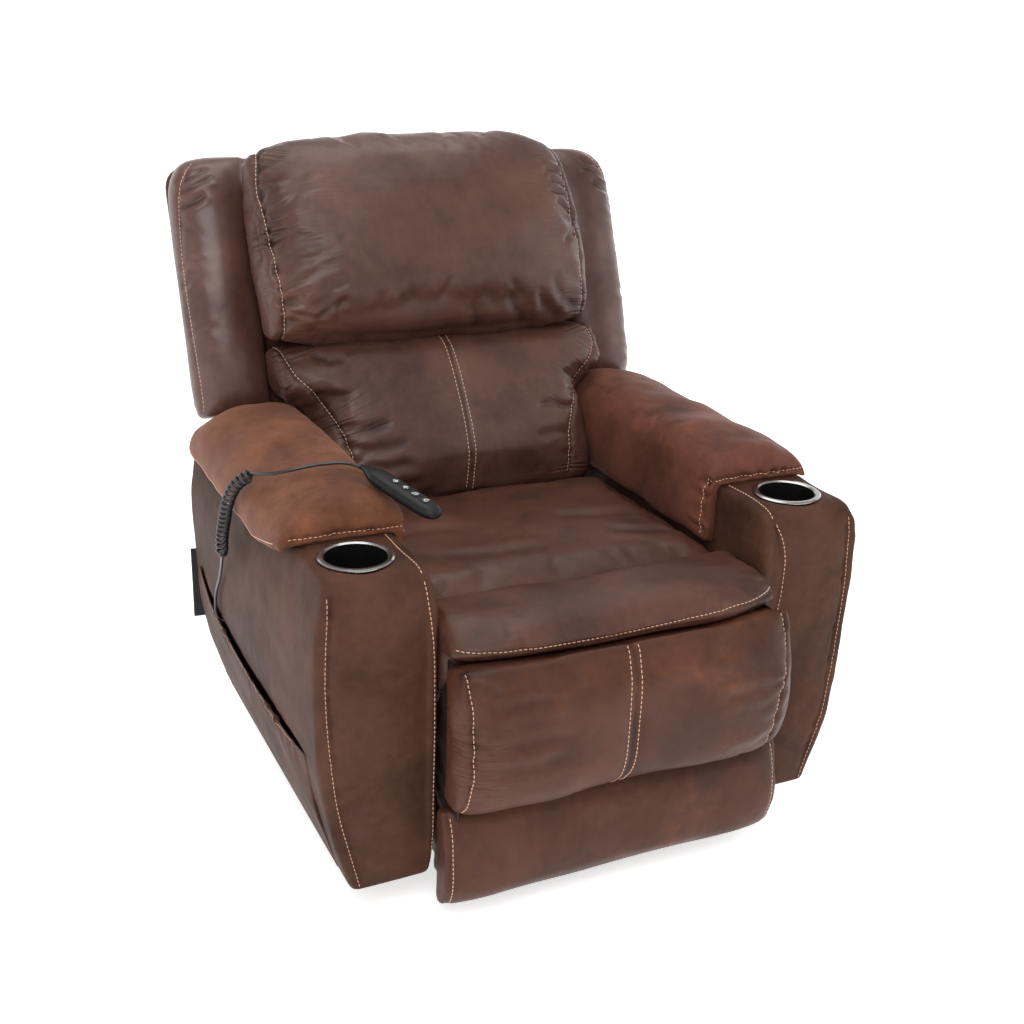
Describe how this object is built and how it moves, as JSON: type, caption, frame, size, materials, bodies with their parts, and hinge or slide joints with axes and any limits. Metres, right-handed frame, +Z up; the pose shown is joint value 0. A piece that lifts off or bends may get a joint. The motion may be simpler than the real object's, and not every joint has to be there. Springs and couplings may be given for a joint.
{
  "type": "lift recliner chair",
  "caption": "Upholstered lift recliner: reclining back, scissor legrest, lift base, arm cups, side pocket and wired handset.",
  "frame": {"origin": "middle of the footprint box on the floor, at the bottom of the glides", "axes": "+X to the right as seen from the front, -Y to the front, +Z up"},
  "size_m": [0.9444, 1.0396, 1.0605],
  "materials": {
    "frame_steel": "satin black powder coat",
    "link_zinc": "zinc plated",
    "hide": "reddish-brown faux leather",
    "timber": "plain plywood",
    "black_plastic": "matte black",
    "glide_rubber": "matte black",
    "ring_steel": "brushed",
    "flap_cloth": "black cloth",
    "handset_plastic": "fine-grained black",
    "button_plastic": "dark grey",
    "cord_skin": "satin black"
  },
  "bodies": {
    "base": {"base_side_rails": "frame_steel", "base_cross_tubes": "frame_steel", "base_glides": "glide_rubber", "base_link_brackets": "frame_steel"},
    "lift_rear": {"lift_rear_links": "link_zinc", "lift_torque_tube": "frame_steel"},
    "lift_front": {"lift_front_links": "link_zinc"},
    "lift_motor_body": {"lift_motor": "frame_steel"},
    "lift_rod_body": {"lift_rod": "link_zinc"},
    "chair": {"lift_frame_rails": "frame_steel", "lift_frame_cross_tubes": "frame_steel", "lift_frame_brackets": "frame_steel", "mechanism_plates": "link_zinc", "mechanism_cross_tubes": "frame_steel", "mechanism_bolts": "link_zinc", "control_box": "black_plastic", "legrest_motor": "frame_steel", "seat_side_rails": "timber", "seat_cross_rails": "timber", "seat_springs": "link_zinc", "seat_cushion": "hide", "seat_front_roll": "hide", "arm_frames": "timber", "arm_inner_panels": "hide", "arm_facings": "hide", "arm_side_left": "hide", "arm_side_right": "hide", "side_pocket": "hide", "arm_pad_left": "hide", "arm_pad_right": "hide", "cup_wells": "black_plastic", "cup_rings": "ring_steel", "rear_flaps": "flap_cloth", "handset_shell": "handset_plastic", "handset_cord": "cord_skin"},
    "recline_motor_body": {"recline_motor": "frame_steel"},
    "recline_rod_body": {"recline_rod": "link_zinc"},
    "legrest_rod_body": {"legrest_rod": "link_zinc"},
    "back": {"back_posts": "timber", "back_rails": "timber", "back_hinge_plates": "link_zinc", "lumbar_cushion": "hide", "head_pillow": "hide", "back_wings": "hide", "back_panel": "hide"},
    "legrest_drive": {"legrest_torque_tube": "frame_steel", "legrest_drive_links": "link_zinc"},
    "legrest_long": {"legrest_long_links": "link_zinc"},
    "legrest_parallel": {"legrest_parallel_links": "link_zinc"},
    "legrest_guide": {"legrest_guide_links": "link_zinc"},
    "legrest": {"legrest_brackets": "frame_steel", "legrest_board": "timber", "legrest_pad": "hide", "kick_straps": "frame_steel", "kick_board": "timber", "kick_pad": "hide"},
    "button_1": {"handset_button_1": "button_plastic"},
    "button_2": {"handset_button_2": "button_plastic"},
    "button_3": {"handset_button_3": "button_plastic"},
    "button_4": {"handset_button_4": "button_plastic"}
  },
  "joints": [
    {"name": "lift", "type": "hinge", "parent": "base", "child": "lift_rear", "pos_m": [0, -0.254, 0.095], "axis": [1, 0, 0], "range_deg": [0, 58]},
    {"name": "chair_tilt", "type": "hinge", "parent": "lift_rear", "child": "chair", "pos_m": [0, 0.116, 0.145], "axis": [1, 0, 0], "range_deg": [-32.95, 0.5]},
    {"name": "lift_front_swing", "type": "hinge", "parent": "base", "child": "lift_front", "pos_m": [0, -0.299, 0.07], "axis": [1, 0, 0], "range_deg": [-0.5, 65.33]},
    {"name": "lift_motor_swing", "type": "hinge", "parent": "base", "child": "lift_motor_body", "pos_m": [0, 0.196, 0.062], "axis": [1, 0, 0], "range_deg": [-0.5, 2]},
    {"name": "lift_rod_slide", "type": "slide", "parent": "lift_motor_body", "child": "lift_rod_body", "axis": [0, -0.9754, 0.2204], "range_m": [-0.001, 0.069]},
    {"name": "recline", "type": "hinge", "parent": "chair", "child": "back", "pos_m": [0, 0.206, 0.37], "axis": [-1, 0, 0], "range_deg": [0, 45]},
    {"name": "recline_motor_swing", "type": "hinge", "parent": "chair", "child": "recline_motor_body", "pos_m": [0, -0.114, 0.225], "axis": [1, 0, 0], "range_deg": [-0.5, 3]},
    {"name": "recline_rod_slide", "type": "slide", "parent": "recline_motor_body", "child": "recline_rod_body", "axis": [0, 0.9879, 0.1552], "range_m": [-0.074, 0.001]},
    {"name": "legrest_lift", "type": "hinge", "parent": "chair", "child": "legrest_drive", "pos_m": [0, -0.364, 0.272], "axis": [-1, 0, 0], "range_deg": [0, 90]},
    {"name": "legrest_long_fold", "type": "hinge", "parent": "legrest_drive", "child": "legrest_long", "pos_m": [0, -0.3662, 0.14602], "axis": [-1, 0, 0], "range_deg": [-141, 1]},
    {"name": "legrest_turn", "type": "hinge", "parent": "legrest_long", "child": "legrest", "pos_m": [0, -0.40781, 0.32628], "axis": [-1, 0, 0], "range_deg": [-1, 141]},
    {"name": "legrest_parallel_fold", "type": "hinge", "parent": "legrest_drive", "child": "legrest_parallel", "pos_m": [0, -0.37168, 0.10136], "axis": [-1, 0, 0], "range_deg": [-141, 1]},
    {"name": "legrest_guide_swing", "type": "hinge", "parent": "chair", "child": "legrest_guide", "pos_m": [0, -0.309, 0.332], "axis": [-1, 0, 0], "range_deg": [-0.5, 74]},
    {"name": "legrest_rod_slide", "type": "slide", "parent": "chair", "child": "legrest_rod_body", "axis": [0, -0.9997, 0.0251], "range_m": [-0.001, 0.053]},
    {"name": "button_1_press", "type": "slide", "parent": "chair", "child": "button_1", "axis": [-0.0769, 0.1839, -0.9799], "range_m": [0, 0.0012], "stiffness_N_per_m": 500, "springref_m": -0.0012},
    {"name": "button_2_press", "type": "slide", "parent": "chair", "child": "button_2", "axis": [-0.0769, 0.1839, -0.9799], "range_m": [0, 0.0012], "stiffness_N_per_m": 500, "springref_m": -0.0012},
    {"name": "button_3_press", "type": "slide", "parent": "chair", "child": "button_3", "axis": [-0.0769, 0.1839, -0.9799], "range_m": [0, 0.0012], "stiffness_N_per_m": 500, "springref_m": -0.0012},
    {"name": "button_4_press", "type": "slide", "parent": "chair", "child": "button_4", "axis": [-0.0769, 0.1839, -0.9799], "range_m": [0, 0.0012], "stiffness_N_per_m": 500, "springref_m": -0.0012}
  ],
  "couplings": [
    {"joint": "chair_tilt", "follows": "lift", "ratio": -0.55948},
    {"joint": "lift_front_swing", "follows": "lift", "ratio": 1.1178},
    {"joint": "lift_motor_swing", "follows": "lift", "ratio": 0.020517},
    {"joint": "lift_rod_slide", "follows": "lift", "m_per_rad": 0.067155},
    {"joint": "recline_motor_swing", "follows": "recline", "ratio": 0.0511},
    {"joint": "recline_rod_slide", "follows": "recline", "m_per_rad": -0.091928},
    {"joint": "legrest_long_fold", "follows": "legrest_lift", "ratio": -1.5556},
    {"joint": "legrest_turn", "follows": "legrest_lift", "ratio": 1.5556},
    {"joint": "legrest_parallel_fold", "follows": "legrest_lift", "ratio": -1.5556},
    {"joint": "legrest_guide_swing", "follows": "legrest_lift", "ratio": 0.81111},
    {"joint": "legrest_rod_slide", "follows": "legrest_lift", "m_per_rad": 0.032881}
  ]
}
